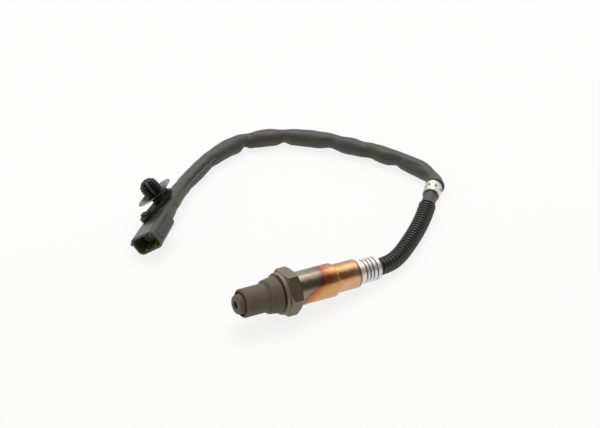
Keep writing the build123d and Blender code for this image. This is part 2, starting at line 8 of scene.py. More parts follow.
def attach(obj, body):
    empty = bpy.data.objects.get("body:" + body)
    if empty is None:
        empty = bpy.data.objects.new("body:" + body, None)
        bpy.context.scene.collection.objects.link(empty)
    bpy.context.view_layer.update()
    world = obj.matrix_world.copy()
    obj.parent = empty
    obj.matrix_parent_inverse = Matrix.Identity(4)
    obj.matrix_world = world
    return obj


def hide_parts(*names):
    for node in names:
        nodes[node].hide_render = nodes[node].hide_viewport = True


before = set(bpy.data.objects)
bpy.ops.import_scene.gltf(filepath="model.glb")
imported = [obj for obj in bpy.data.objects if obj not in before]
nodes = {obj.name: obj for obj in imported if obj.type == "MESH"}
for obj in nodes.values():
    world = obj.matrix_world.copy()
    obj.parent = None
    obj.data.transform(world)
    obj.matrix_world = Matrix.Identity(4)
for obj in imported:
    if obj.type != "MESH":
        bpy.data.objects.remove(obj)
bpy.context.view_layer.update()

mm = 0.001
lay = 4.72              # height of a cord's middle line where it lies on the floor, millimetres

# how the pieces lie: places in millimetres in the shared frame, angles in degrees
sensorPose = {
    "hexCentre": (-12.613, 0.0, 12.173),
    "tilt": 6.177,                          # how much the axis falls towards the lead
}
ferrulePose = {
    "start": (100.621, 39.2, lay),
    "heading": 45.707,                      # from +X towards +Y, as for the connector
}
connectorPose = {
    "mouth": (-53.613, 74.1, 8.31),
    "heading": 40.5, "roll": 40.0,          # the roll is about its length
    "clipReach": 31.0, "clipRise": 5.25,    # the stud's foot, from the mouth and above the axis
}


def fromHexagon(points):
    # points in millimetres from under the hexagon, as metres in the shared frame
    return (np.array(points, dtype=float) + [sensorPose["hexCentre"][0], 0, 0]) * mm


def sensorFrame():
    # origin and two axes: along the sensor towards its lead, then upward
    tilt = math.radians(sensorPose["tilt"])
    return (Vector(sensorPose["hexCentre"]), Vector((math.cos(tilt), 0, -math.sin(tilt))),
            Vector((math.sin(tilt), 0, math.cos(tilt))))


def ferruleFrame():
    # origin at the ferrule's start and two axes: along the ferrule, then upward
    turn = math.radians(ferrulePose["heading"])
    return (Vector(ferrulePose["start"]), Vector((math.cos(turn), math.sin(turn), 0)),
            Vector((0, 0, 1)))


def connectorFrame():
    # origin in the mouth and two axes: along the connector towards its lead, then square to its top
    turn, roll = math.radians(connectorPose["heading"]), math.radians(connectorPose["roll"])
    lengthwise = Vector((math.cos(turn), math.sin(turn), 0))
    level = Vector((math.sin(turn), -math.cos(turn), 0))
    return (Vector(connectorPose["mouth"]), lengthwise,
            Vector((0, 0, math.cos(roll))) - level * math.sin(roll))


def clipFrame():
    # origin at the stud's foot and two axes: along the connector towards its lead, then up the stud
    mouth, lengthwise, upStud = connectorFrame()
    foot = mouth + lengthwise * connectorPose["clipReach"] + upStud * connectorPose["clipRise"]
    return foot, lengthwise, upStud


cameraSetup = {
    "target": (47.18, 65.25, 0.0),  # millimetres from under the hexagon
    "distance": 1.502,              # metres
    "azimuth": 31.72,               # degrees from +Y towards +X
    "elevation": 37.87,
    "roll": 1.45,
    "lens": 168.6,
    "sensorWidth": 36.0,
    "farthest": 50.0,               # metres that the camera sees
}


def addCamera(setup):
    # the camera stands back from its target along forward = (sin(turn) * cos(rise),
    # cos(turn) * cos(rise), -sin(rise))
    turn = math.radians(setup["azimuth"])
    rise = math.radians(setup["elevation"])
    forward = Vector((math.sin(turn) * math.cos(rise), math.cos(turn) * math.cos(rise),
                      -math.sin(rise)))
    data = bpy.data.cameras.new("camera")
    data.lens = setup["lens"]
    data.sensor_width = setup["sensorWidth"]
    data.sensor_fit = "HORIZONTAL"
    data.clip_end = setup["farthest"]
    camera = bpy.data.objects.new("camera", data)
    camera.location = Vector(fromHexagon(setup["target"])) - forward * setup["distance"]
    aimed = forward.to_track_quat("-Z", "Y") @ Quaternion((0, 0, 1), math.radians(setup["roll"]))
    camera.rotation_euler = aimed.to_euler()
    bpy.context.scene.collection.objects.link(camera)
    bpy.context.scene.camera = camera
    return forward


def addNode(tree, kind, inputs=None, **settings):
    # one shader node; an input given as a socket is linked, anything else is its value
    node = tree.nodes.new(kind)
    for key, value in settings.items():
        setattr(node, key, value)
    for key, value in (inputs or {}).items():
        if isinstance(value, bpy.types.NodeSocket):
            tree.links.new(value, node.inputs[key])
        else:
            node.inputs[key].default_value = value
    return node


def combine(tree, operation, first, second=0.0):
    # one calculation with two numbers; some, such as ABSOLUTE and SQRT, use only the first
    return addNode(tree, "ShaderNodeMath", {0: first, 1: second}, operation=operation).outputs[0]


def bareTree(holder):
    # the empty node tree of a material or a world
    holder.use_nodes = True
    holder.node_tree.nodes.clear()
    return holder.node_tree


def seenDirectly(tree):
    # 1 for rays from the camera, and for rays that a glossy or clear surface sends on
    path = addNode(tree, "ShaderNodeLightPath").outputs
    shiny = combine(tree, "MAXIMUM", path["Is Camera Ray"], path["Is Glossy Ray"])
    return combine(tree, "MAXIMUM", shiny, path["Is Transmission Ray"])


studio = {
    "floorSize": 12.0,              # metres
    "floorColour": (0.92, 0.92, 0.92, 1),
    "floorWhite": 0.84,             # share of plain white in what the camera sees of the floor
    "ambient": 0.75,                # brightness of the white surroundings
    # lamps: places from the camera's target and sizes in metres, power in watts
    "key": {"place": (0.25, 0.45, 1.3), "size": 1.0, "power": 11.0},
    "fill": {"place": (-1.2, 0.1, 0.8), "size": 0.8, "power": 3.0},
    # a dark cloth around the viewer's side, as part of a sphere: metres, and degrees
    "cloth": {"distance": 1.35, "halfTurn": 105.0, "rise": (9.0, 74.0), "columns": 33, "rows": 17,
              "colour": (0.12, 0.10, 0.065, 1)},
}


def addFloor(setup):
    # a wide pale floor that keeps its shadows, part of it plain white where it is seen directly
    bpy.ops.mesh.primitive_plane_add(size=setup["floorSize"])
    floor = bpy.context.object
    floor.name = "floor"
    paint = bpy.data.materials.new("floorPaint")
    tree = bareTree(paint)
    matte = addNode(tree, "ShaderNodeBsdfDiffuse", {"Color": setup["floorColour"]})
    white = addNode(tree, "ShaderNodeEmission", {"Color": (1, 1, 1, 1), "Strength": 1.0})
    share = combine(tree, "MULTIPLY", seenDirectly(tree), setup["floorWhite"])
    mixed = addNode(tree, "ShaderNodeMixShader", {0: share, 1: matte.outputs[0],
                                                  2: white.outputs[0]})
    addNode(tree, "ShaderNodeOutputMaterial", {"Surface": mixed.outputs[0]})
    floor.data.materials.append(paint)


def addSurroundings(setup):
    # plain white where it is seen directly, a softer light for everything else
    world = bpy.data.worlds.new("surroundings")
    bpy.context.scene.world = world
    tree = bareTree(world)
    level = addNode(tree, "ShaderNodeMapRange", {"Value": seenDirectly(tree),
                                                 "To Min": setup["ambient"], "To Max": 1.0})
    sky = addNode(tree, "ShaderNodeBackground", {"Color": (1, 1, 1, 1),
                                                 "Strength": level.outputs[0]})
    addNode(tree, "ShaderNodeOutputWorld", {"Surface": sky.outputs[0]})


def addLamp(name, setup, aim):
    # a square soft lamp that faces the aim
    lamp = bpy.data.lights.new(name, "AREA")
    lamp.shape = "SQUARE"
    lamp.size = setup["size"]
    lamp.energy = setup["power"]
    holder = bpy.data.objects.new(name, lamp)
    holder.location = Vector(setup["place"]) + aim
    holder.rotation_euler = (aim - holder.location).to_track_quat("-Z", "Y").to_euler()
    bpy.context.scene.collection.objects.link(holder)


def addCloth(setup, aim, forward):
    # aim + distance * (cos(rise) * sin(turn), cos(rise) * cos(turn), sin(rise)), over turns to
    # both sides of the way back to the viewer
    back = math.atan2(-forward.x, -forward.y)
    sideways = np.linspace(-setup["halfTurn"], setup["halfTurn"], setup["columns"])
    turns = back + np.radians(sideways)[None, :]
    rises = np.radians(np.linspace(*setup["rise"], setup["rows"]))[:, None]
    ball = np.stack([np.cos(rises) * np.sin(turns), np.cos(rises) * np.cos(turns),
                     np.sin(rises) + 0 * turns], axis=-1) * setup["distance"] + np.array(aim)
    index = np.arange(ball.shape[0] * ball.shape[1]).reshape(ball.shape[:2])
    quads = np.stack([index[:-1, :-1], index[:-1, 1:], index[1:, 1:], index[1:, :-1]], axis=-1)
    mesh = bpy.data.meshes.new("cloth")
    mesh.from_pydata(ball.reshape(-1, 3).tolist(), [], quads.reshape(-1, 4).tolist())
    card = bpy.data.objects.new("cloth", mesh)
    bpy.context.scene.collection.objects.link(card)
    card.visible_camera = False
    card.visible_shadow = False
    dark = bpy.data.materials.new("darkCloth")
    tree = bareTree(dark)
    weave = addNode(tree, "ShaderNodeEmission", {"Color": setup["colour"], "Strength": 1.0})
    addNode(tree, "ShaderNodeOutputMaterial", {"Surface": weave.outputs[0]})
    mesh.materials.append(dark)


def addStudio(setup, forward):
    # floor, white surroundings, two lamps and the dark cloth, about the camera's target
    aim = Vector(fromHexagon(cameraSetup["target"]))
    addFloor(setup)
    addSurroundings(setup)
    addLamp("key", setup["key"], aim)
    addLamp("fill", setup["fill"], aim)
    addCloth(setup["cloth"], aim, forward)


addStudio(studio, addCamera(cameraSetup))
bpy.context.scene.view_settings.view_transform = "Standard"
print("camera, floor and light are in place")


# building blocks of the finishes
def startFinish(name):
    # a new material with its node tree and shader
    finish = bpy.data.materials.new(name)
    finish.use_nodes = True
    return finish, finish.node_tree, finish.node_tree.nodes["Principled BSDF"]


def setShader(tree, shader, **values):
    # sets or links the shader's sockets by name, with underscores for spaces
    for key, value in values.items():
        socket = shader.inputs[key.replace("_", " ")]
        if isinstance(value, bpy.types.NodeSocket):
            tree.links.new(value, socket)
        else:
            socket.default_value = value


def objectPlace(tree):
    # where a point lies in the shared frame, in metres, because every object sits at its origin
    return addNode(tree, "ShaderNodeTexCoord").outputs["Object"]


def ownFrame(tree, origin, xAxis, zAxis):
    # Object coordinates as millimetres in a frame of the piece's own: turned by a matrix whose rows
    # are the frame's axes, then moved by minus its origin
    turn = Matrix((xAxis, zAxis.cross(xAxis), zAxis))
    return addNode(tree, "ShaderNodeMapping",
                   {"Vector": objectPlace(tree), "Location": -(turn @ origin),
                    "Rotation": turn.to_euler(), "Scale": (1 / mm, 1 / mm, 1 / mm)}).outputs[0]


def stretch(tree, vector, scale):
    return addNode(tree, "ShaderNodeMapping", {"Vector": vector, "Scale": scale}).outputs[0]


def split(tree, vector):
    return addNode(tree, "ShaderNodeSeparateXYZ", {0: vector}).outputs


def noise(tree, vector, scale, detail=3.0, roughness=0.5):
    return addNode(tree, "ShaderNodeTexNoise",
                   {"Vector": vector, "Scale": scale, "Detail": detail,
                    "Roughness": roughness}).outputs["Fac"]


def remap(tree, value, source, target, kind="LINEAR"):
    # a value carried from the source range to the target range, and held at its ends
    return addNode(tree, "ShaderNodeMapRange",
                   {"Value": value, "From Min": source[0], "From Max": source[1],
                    "To Min": target[0], "To Max": target[1]}, interpolation_type=kind).outputs[0]


def fromAxis(tree, first, second):
    # distance from an axis: the root of first squared plus second squared
    squares = combine(tree, "ADD", combine(tree, "POWER", first, 2.0),
                      combine(tree, "POWER", second, 2.0))
    return combine(tree, "SQRT", squares)


def ramp(tree, value, stops):
    # the colour at a value between stops of (value, colour)
    node = addNode(tree, "ShaderNodeValToRGB", {"Fac": value})
    bar = node.color_ramp.elements
    while len(bar) < len(stops):
        bar.new(1.0)
    for element, (position, colour) in zip(bar, stops):
        element.position = position
        element.color = (*colour, 1)
    return node.outputs["Color"]


def blendColour(tree, factor, first, second):
    # first where the factor is 0 and second where it is 1; a colour mix has its factor in socket 0,
    # its colours in 6 and 7, and its result in 2
    node = addNode(tree, "ShaderNodeMix", data_type="RGBA")
    for index, value in ((0, factor), (6, first), (7, second)):
        if isinstance(value, bpy.types.NodeSocket):
            tree.links.new(value, node.inputs[index])
        else:
            node.inputs[index].default_value = (*value, 1) if index else value
    return node.outputs[2]


def times(colour, share):
    # a colour with each channel multiplied by the share, and kept to 1
    return tuple(min(1.0, channel * share) for channel in colour)


def bump(tree, height, strength, depth):
    # a bump of the given depth in millimetres
    return addNode(tree, "ShaderNodeBump", {"Height": height, "Strength": strength,
                                            "Distance": depth * mm}).outputs[0]


whole = (0.0, 1.0)      # a noise's or a share's whole range

mouldedSetup = {
    "mottle": 160.0,                # patches in colour and gloss, per metre
    "glossChange": 0.06,            # of the roughness, either way
    "grainStrength": 0.35, "grainDepth": 0.04,      # the fine grain, millimetres
}


def moulded(name, colour, spread=0.12, roughness=0.5, grain=1500.0, gloss=0.5, sheen=0.0):
    # moulded plastic: a faint mottle in colour and gloss, and a fine grain, per metre
    setup = mouldedSetup
    finish, tree, shader = startFinish(name)
    at = objectPlace(tree)
    mottle = noise(tree, at, setup["mottle"], detail=4.0)
    darker, lighter = times(colour, 1 - spread), times(colour, 1 + spread)
    change = setup["glossChange"]
    setShader(tree, shader, Base_Color=blendColour(tree, mottle, darker, lighter),
              Roughness=remap(tree, mottle, whole, (roughness - change, roughness + change)),
              Specular_IOR_Level=gloss, Sheen_Weight=sheen,
              Normal=bump(tree, noise(tree, at, grain, detail=2.0), setup["grainStrength"],
                          setup["grainDepth"]))
    return finish


turnedSetup = {
    "stains": 0.22, "stainBand": (0.3, 0.7),        # patches per millimetre, and where they set in
    "rings": (6.0, 0.15, 0.15),                     # close together along the axis, long around it
    "ringGloss": (-0.05, 0.07),                     # change of roughness from ring to ring
    "ringStrength": 0.25, "ringDepth": 0.03,        # millimetres
}


def turnedSteel(name, colour, roughness, stain=0.25):
    # turned or drawn metal: fine rings around the sensor's axis, and cloudy stains that are darker
    # by the given share
    setup = turnedSetup
    finish, tree, shader = startFinish(name)
    at = ownFrame(tree, *sensorFrame())
    clean = remap(tree, noise(tree, at, setup["stains"], detail=5.0, roughness=0.6),
                  setup["stainBand"], whole)
    rings = noise(tree, stretch(tree, at, setup["rings"]), 1.0, detail=2.0)
    gloss = [roughness + change for change in setup["ringGloss"]]
    setShader(tree, shader, Base_Color=blendColour(tree, clean, times(colour, 1 - stain), colour),
              Metallic=1.0, Roughness=remap(tree, rings, whole, gloss),
              Normal=bump(tree, rings, setup["ringStrength"], setup["ringDepth"]))
    return finish


tintSetup = {
    "front": 3.7, "rear": 41.6, "radius": 8.85,     # the tube, millimetres along its axis and from it
    # oxide colours, each at its share of the way from front to rear
    "stops": (
        (0.00, (0.31, 0.27, 0.20)), (0.31, (0.27, 0.225, 0.175)), (0.365, (0.26, 0.10, 0.10)),
        (0.43, (0.50, 0.15, 0.065)), (0.49, (0.55, 0.23, 0.08)), (0.58, (0.66, 0.34, 0.13)),
        (0.74, (0.64, 0.35, 0.16)), (1.00, (0.68, 0.41, 0.235)),
    ),
    "lean": 0.34,                   # how much nearer to the hexagon the colours start on the under side
    "leanBand": (-0.4, 0.85),       # heights between which the lean fades, in radii
    "wander": 0.2, "patches": 0.14,                 # of the way, and patches per millimetre
    "soot": {"patches": 0.3, "band": (0.5, 0.75), "share": 0.3, "colour": (0.16, 0.11, 0.06)},
    # a painted dark reflection along the rear edge,
    # between two distances before the rear in millimetres
    "rim": {"start": 1.8, "full": 1.3, "share": 0.8, "colour": (0.17, 0.12, 0.075)},
    # a painted shade stripe, in degrees from the top towards the lead's loop, over the rear part
    "paintedShadeStripe": {"turn": 42.0, "band": (0.60, 0.80), "along": (0.40, 0.50), "share": 0.8,
             "colour": (0.40, 0.26, 0.185)},
    "rings": (5.0, 0.2, 0.2), "uneven": 0.25,       # close rings, and patches per millimetre
    "glossBand": (0.3, 0.7), "roughness": (0.24, 0.36),
    "strength": 0.15, "depth": 0.06,                # of the bump, millimetres
}


def heatTintedSteel(name, setup):
    # the oxide colour follows the share of the way from the hot end, starts nearer to it on the
    # under side and wanders a little; soot, a painted dark reflection along the rear edge and a
    # stripe of painted shade lie over it, the stripe where
    # sin(turn) * Y / radius + cos(turn) * Z / radius is high
    finish, tree, shader = startFinish(name)
    at = ownFrame(tree, *sensorFrame())
    axes = split(tree, at)
    radius = setup["radius"]
    share = remap(tree, axes["X"], (setup["front"], setup["rear"]), whole)
    lean = remap(tree, axes["Z"], [radius * height for height in setup["leanBand"]],
                 (setup["lean"], 0.0), "SMOOTHSTEP")
    patches = combine(tree, "SUBTRACT", noise(tree, at, setup["patches"]), 0.5)
    wander = combine(tree, "MULTIPLY", patches, setup["wander"])
    colour = ramp(tree, combine(tree, "ADD", combine(tree, "ADD", share, wander), lean), setup["stops"])

    soot = setup["soot"]
    sooty = remap(tree, noise(tree, at, soot["patches"], detail=5.0, roughness=0.65), soot["band"],
                  (0.0, soot["share"]))
    colour = blendColour(tree, sooty, colour, soot["colour"])
    # painted reflection: the rear edge turns towards a dark colour
    rim = setup["rim"]
    paintedRimShare = remap(tree, axes["X"], (setup["rear"] - rim["start"], setup["rear"] - rim["full"]),
                  (0.0, rim["share"]))
    colour = blendColour(tree, paintedRimShare, colour, rim["colour"])
    # painted shade: a darker stripe on the rear part, on the side facing up and towards the lead's loop
    paintedShadeStripe = setup["paintedShadeStripe"]
    turn = math.radians(paintedShadeStripe["turn"])
    facing = combine(tree, "ADD", combine(tree, "MULTIPLY", axes["Y"], math.sin(turn) / radius),
                     combine(tree, "MULTIPLY", axes["Z"], math.cos(turn) / radius))
    paintedShadeShare = combine(tree, "MULTIPLY", remap(tree, facing, paintedShadeStripe["band"], (0.0, paintedShadeStripe["share"])),
                     remap(tree, share, paintedShadeStripe["along"], whole))
    colour = blendColour(tree, paintedShadeShare, colour, paintedShadeStripe["colour"])

    rings = noise(tree, stretch(tree, at, setup["rings"]), 1.0, detail=2.0)
    uneven = noise(tree, at, setup["uneven"], detail=2.0)
    setShader(tree, shader, Base_Color=colour, Metallic=1.0,
              Roughness=remap(tree, uneven, setup["glossBand"], setup["roughness"]),
              Normal=bump(tree, combine(tree, "ADD", rings, uneven), setup["strength"], setup["depth"]))
    return finish


crimpedSetup = {
    "clouds": 0.6, "cloudBand": (0.35, 0.6), "cloudShare": 0.82,    # patches per millimetre
    "cloudGloss": (0.08, -0.05),                                    # change of roughness
    # the painted shade in the grooves: its depth, its colour, and how it fades from below up
    "grooveDepth": 0.25, "grooveShadeColour": (0.24, 0.21, 0.20),        # millimetres
    "grooveShadeBand": (-0.6, 0.1), "grooveShadeShares": (0.1, 1.0),                    # heights in radii, and shares
    "metallic": 0.7,
    "dents": 1.2, "dentStrength": 0.15, "dentDepth": 0.2,           # per millimetre, and millimetres
}


def crimpedSteel(name, ownAxes, colour, roughness, grooveRadius):
    # bright plated steel, rolled and a little matt; painted shade darkens its grooves except on
    # the under side; a groove is where the distance from the axis is less than the groove radius
    setup = crimpedSetup
    finish, tree, shader = startFinish(name)
    at = ownFrame(tree, *ownAxes)
    axes = split(tree, at)
    cloud = noise(tree, at, setup["clouds"], detail=4.0, roughness=0.6)
    clean = blendColour(tree, remap(tree, cloud, setup["cloudBand"], whole),
                        times(colour, setup["cloudShare"]), colour)
    # painted shade: the grooves are darkened, fully from a little above the axis and a tenth as much
    # low down
    inGroove = remap(tree, fromAxis(tree, axes["Y"], axes["Z"]),
                     (grooveRadius - setup["grooveDepth"], grooveRadius), (1.0, 0.0))
    heights = [height * grooveRadius for height in setup["grooveShadeBand"]]
    grooveShade = combine(tree, "MULTIPLY", inGroove, remap(tree, axes["Z"], heights, setup["grooveShadeShares"]))
    gloss = [roughness + change for change in setup["cloudGloss"]]
    setShader(tree, shader, Base_Color=blendColour(tree, grooveShade, clean, setup["grooveShadeColour"]),
              Metallic=setup["metallic"], Roughness=remap(tree, cloud, whole, gloss),
              Normal=bump(tree, noise(tree, at, setup["dents"], detail=1.0), setup["dentStrength"],
                          setup["dentDepth"]))
    return finish


clipSetup = {
    # the nylon's colour, and the colour of the painted light at the umbrella's thin ends
    "dark": (0.014, 0.015, 0.008), "paintedLight": (0.30, 0.30, 0.28), "paintedLightShare": 0.8,
    "umbrellaTurn": 30.0,                           # degrees from the connector's length
    # where the painted light on the thin ends sets in, millimetres out from the stud and up it
    "umbrellaReach": (4.4, 6.8), "umbrellaRise": (4.1, 4.5),
    "mottle": 0.5, "roughness": (0.50, 0.60), "gloss": 0.35,
    "grain": 2.5, "grainStrength": 0.3, "grainDepth": 0.05,     # per millimetre, and millimetres
}


def clipPlastic(name, setup):
    # dark moulded nylon; painted light stands in for reflections and for light through the thin
    # plastic at the thin ends of the umbrella, which are told apart by the height up the stud and
    # the distance along the umbrella's length: |cos(turn) * X - sin(turn) * Y|
    finish, tree, shader = startFinish(name)
    at = ownFrame(tree, *clipFrame())
    axes = split(tree, at)
    turn = math.radians(setup["umbrellaTurn"])
    lengthways = combine(tree, "SUBTRACT", combine(tree, "MULTIPLY", axes["X"], math.cos(turn)),
                         combine(tree, "MULTIPLY", axes["Y"], math.sin(turn)))
    outward = combine(tree, "ABSOLUTE", lengthways)
    # painted light: the umbrella's thin ends are made paler
    umbrella = combine(tree, "MULTIPLY", remap(tree, outward, setup["umbrellaReach"], whole),
                       remap(tree, axes["Z"], setup["umbrellaRise"], whole))
    mottle = noise(tree, at, setup["mottle"])
    paintedLight = blendColour(tree, mottle, times(setup["paintedLight"], setup["paintedLightShare"]), setup["paintedLight"])
    setShader(tree, shader, Base_Color=blendColour(tree, umbrella, setup["dark"], paintedLight),
              Roughness=remap(tree, mottle, whole, setup["roughness"]),
              Specular_IOR_Level=setup["gloss"],
              Normal=bump(tree, noise(tree, at, setup["grain"], detail=2.0), setup["grainStrength"],
                          setup["grainDepth"]))
    return finish


mouthSetup = {
    # the plastic's colour, and the colour of the painted light within the mouth
    "outside": (0.036, 0.037, 0.028), "inside": (0.16, 0.15, 0.08), "roughness": 0.31, "gloss": 0.6,
    # the space of painted light within the mouth and how softly it ends, millimetres
    "depth": 11.0, "halfWidth": 7.4, "halfHeight": 4.4, "corner": 10.9, "edge": 0.2,
}


def connectorPlastic(name, setup):
    # moulded plastic, with painted light that makes the space within the mouth lighter and olive,
    # where |X| < depth, |Y| < half width, |Z| < half height and |Y| + |Z| < corner
    finish = moulded(name, setup["outside"], roughness=setup["roughness"], gloss=setup["gloss"])
    tree, shader = finish.node_tree, finish.node_tree.nodes["Principled BSDF"]
    outside = shader.inputs["Base Color"].links[0].from_socket
    axes = split(tree, ownFrame(tree, *connectorFrame()))
    inward, aside, upward = (combine(tree, "ABSOLUTE", axes[axis]) for axis in "XYZ")
    slanted = combine(tree, "ADD", aside, upward)
    # painted light: a mask of the space within the mouth, where the colour is made lighter and olive
    inside = 1.0
    for distance, size in ((inward, "depth"), (aside, "halfWidth"), (upward, "halfHeight"),
                           (slanted, "corner")):
        within = remap(tree, distance, (setup[size] - setup["edge"], setup[size]), (1.0, 0.0))
        inside = combine(tree, "MULTIPLY", within, inside)
    setShader(tree, shader, Base_Color=blendColour(tree, inside, outside, setup["inside"]))
    return finish


finishes = {
    "cap": moulded("capPlastic", (0.150, 0.120, 0.084), spread=0.18, roughness=0.58, grain=700.0,
                   gloss=0.26),
    "shell": turnedSteel("shellSteel", (0.245, 0.21, 0.155), roughness=0.46),
    "gasket": turnedSteel("gasketSteel", (0.33, 0.295, 0.225), roughness=0.68),
    "tube": heatTintedSteel("heatTintedSteel", tintSetup),
    "bright": crimpedSteel("brightSteel", sensorFrame(), (0.95, 0.905, 0.875), roughness=0.40,
                           grooveRadius=6.3),
    "ferrule": crimpedSteel("ferruleSteel", ferruleFrame(), (0.80, 0.77, 0.75), roughness=0.42,
                            grooveRadius=4.55),
    "ceramic": moulded("whiteCeramic", (0.82, 0.80, 0.76), spread=0.05, roughness=0.6),
    "brass": turnedSteel("springBrass", (0.72, 0.55, 0.28), roughness=0.3, stain=0.15),
    "tin": turnedSteel("tinnedPins", (0.35, 0.34, 0.31), roughness=0.45, stain=0.2),
    "rubber": moulded("grommetRubber", (0.03, 0.03, 0.03), spread=0.1, roughness=0.6),
    "lock": moulded("lockPlastic", (0.17, 0.165, 0.11), spread=0.1, roughness=0.5),
    "hose": moulded("hosePlastic", (0.030, 0.031, 0.020), spread=0.15, roughness=0.34),
    "cuff": moulded("cuffPlastic", (0.068, 0.064, 0.062), spread=0.12, roughness=0.45),
    "sleeve": moulded("sleevePlastic", (0.062, 0.063, 0.049), spread=0.14, roughness=0.52, sheen=0.08),
    "connector": connectorPlastic("connectorPlastic", mouthSetup),
    "clip": clipPlastic("clipPlastic", clipSetup),
    "web": moulded("webPlastic", (0.034, 0.036, 0.022), spread=0.2, roughness=0.45),
}

finishOfNode = {
    "transit_cap": "cap", "sensor_shell": "shell", "seat_gasket": "gasket", "housing_tube": "tube",
    "crimp_shell": "bright", "cable_ferrule": "ferrule", "outer_protection_tube": "bright",
    "inner_protection_tube": "bright", "press_ring": "bright", "holder_spring": "bright",
    "sensing_element": "ceramic", "front_ceramic_bushing": "ceramic", "talc_seal": "ceramic",
    "rear_ceramic_bushing": "ceramic", "contact_holder": "ceramic", "contact_springs": "brass",
    "connector_pins": "tin", "lead_wires": "cuff", "cable_grommet": "rubber", "wire_seal": "rubber",
    "hose_cuff": "cuff", "connector_housing": "connector", "connector_boot": "sleeve",
    "pin_lock": "lock", "lead_core": "sleeve", "retaining_clip": "clip",
    "corrugated_hose": "hose", "cable_sleeve": "sleeve",
}
for nodeName, finishName in finishOfNode.items():
    slots = nodes[nodeName].data.materials
    slots.clear()
    slots.append(finishes[finishName])
print("finishes are on the carried-over nodes")


# surfaces carried along a route
def splineLine(name, points):
    # the smooth line of a NURBS spline through a cord's control points, as an array in metres
    curve = bpy.data.curves.new(name + "Line", "CURVE")
    curve.dimensions = "3D"
    curve.resolution_u = 24                 # steps to each control point
    spline = curve.splines.new("NURBS")
    spline.points.add(len(points) - 1)
    placed = np.hstack([fromHexagon(points), np.ones((len(points), 1))])
    spline.points.foreach_set("co", placed.ravel())
    spline.order_u = 3
    spline.use_endpoint_u = True
    holder = bpy.data.objects.new(name + "Line", curve)
    bpy.context.scene.collection.objects.link(holder)
    bpy.context.view_layer.update()
    evaluated = holder.evaluated_get(bpy.context.evaluated_depsgraph_get())
    mesh = bpy.data.meshes.new_from_object(evaluated)
    line = np.empty(len(mesh.vertices) * 3)
    mesh.vertices.foreach_get("co", line)
    bpy.data.objects.remove(holder)
    bpy.data.curves.remove(curve)
    bpy.data.meshes.remove(mesh)
    return line.reshape(-1, 3)


def lineLength(line):
    # the sum of the steps from point to point
    return float(np.linalg.norm(np.diff(line, axis=0), axis=1).sum())


def alongLine(line, distances, ahead=0.6 * mm):
    # points at the given distances along the line, with their side and rise directions:
    # heading runs from a little behind to a little ahead, side is level and square to it,
    # and rise is square to both
    steps = np.linalg.norm(np.diff(line, axis=0), axis=1)
    travelled = np.concatenate([[0], np.cumsum(steps)])

    def pointsAt(places):
        return np.stack([np.interp(places, travelled, line[:, axis]) for axis in range(3)], axis=1)

    heading = pointsAt(distances + ahead) - pointsAt(distances - ahead)
    heading /= np.linalg.norm(heading, axis=1, keepdims=True)
    side = np.cross(heading, [0, 0, 1])
    side /= np.linalg.norm(side, axis=1, keepdims=True)
    return pointsAt(distances), side, np.cross(side, heading)


def gridMesh(name, grid, finish):
    # a piece over a grid of rings (rings, points around, 3), joined around and closed with end caps;
    # its faces point outwards where each ring runs counter-clockwise, looking along the rings
    rings, around = grid.shape[:2]
    index = np.arange(rings * around).reshape(rings, around)
    turned = np.roll(index, -1, axis=1)
    quads = np.stack([index[:-1], index[1:], turned[1:], turned[:-1]], axis=-1).reshape(-1, 4)
    caps = [index[0].tolist(), index[-1][::-1].tolist()]
    mesh = bpy.data.meshes.new(name)
    mesh.from_pydata(grid.reshape(-1, 3).tolist(), [], quads.tolist() + caps)
    mesh.shade_smooth()
    mesh.materials.append(finish)
    piece = bpy.data.objects.new(name, mesh)
    bpy.context.scene.collection.objects.link(piece)
    return piece


def tubeGrid(points, side, rise, radius, angles):
    # each ring is centre + radius * (cos(angle) * side + sin(angle) * rise)
    across = (np.cos(angles)[None, :, None] * side[:, None, :]
              + np.sin(angles)[None, :, None] * rise[:, None, :])
    return points[:, None, :] + radius[:, :, None] * across


hoseSetup = {
    # millimetres, the route's points from under the hexagon
    "route": (
        (55.178, 0.0, 6.201), (57.564, 0.0, 5.943), (60.7, 0.4, 5.62), (64.8, 1.4, 5.2),
        (69.1, 3.2, 4.88), (73.7, 5.8, 4.74), (79.8, 9.8, lay), (88.2, 15.8, lay),
        (96.6, 22.7, lay), (102.6, 28.3, lay), (106.6, 32.4, lay),
    ),
    "crest": 4.6, "valley": 3.75, "pitch": 2.1,     # two radii, and the step from rib to rib
    "flatness": 2.0,                # of the ribs' crests and valleys
    "around": 56, "perRib": 16,     # points around, and rings to a rib
}


def corrugatedHose(setup):
    # radius = middle + half the ribs' depth * tanh(flatness * wave) / tanh(flatness), with wave the
    # cosine of the distance along the hose, one turn to each rib
    line = splineLine("hose", setup["route"])
    length = lineLength(line)
    ribs = round(length / (setup["pitch"] * mm))
    distances = np.linspace(0, length, ribs * setup["perRib"] + 1)
    wave = np.cos(2 * np.pi * distances / length * ribs)
    flattened = np.tanh(setup["flatness"] * wave) / math.tanh(setup["flatness"])
    middle = (setup["crest"] + setup["valley"]) / 2
    radius = (middle + (setup["crest"] - setup["valley"]) / 2 * flattened) * mm
    points, side, rise = alongLine(line, distances)
    angles = np.linspace(0, 2 * np.pi, setup["around"], endpoint=False)
    grid = tubeGrid(points, side, rise, np.repeat(radius[:, None], setup["around"], axis=1), angles)
    piece = gridMesh("hoseRibs", grid, finishes["hose"])
    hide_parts("corrugated_hose")
    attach(piece, "root")
    return line


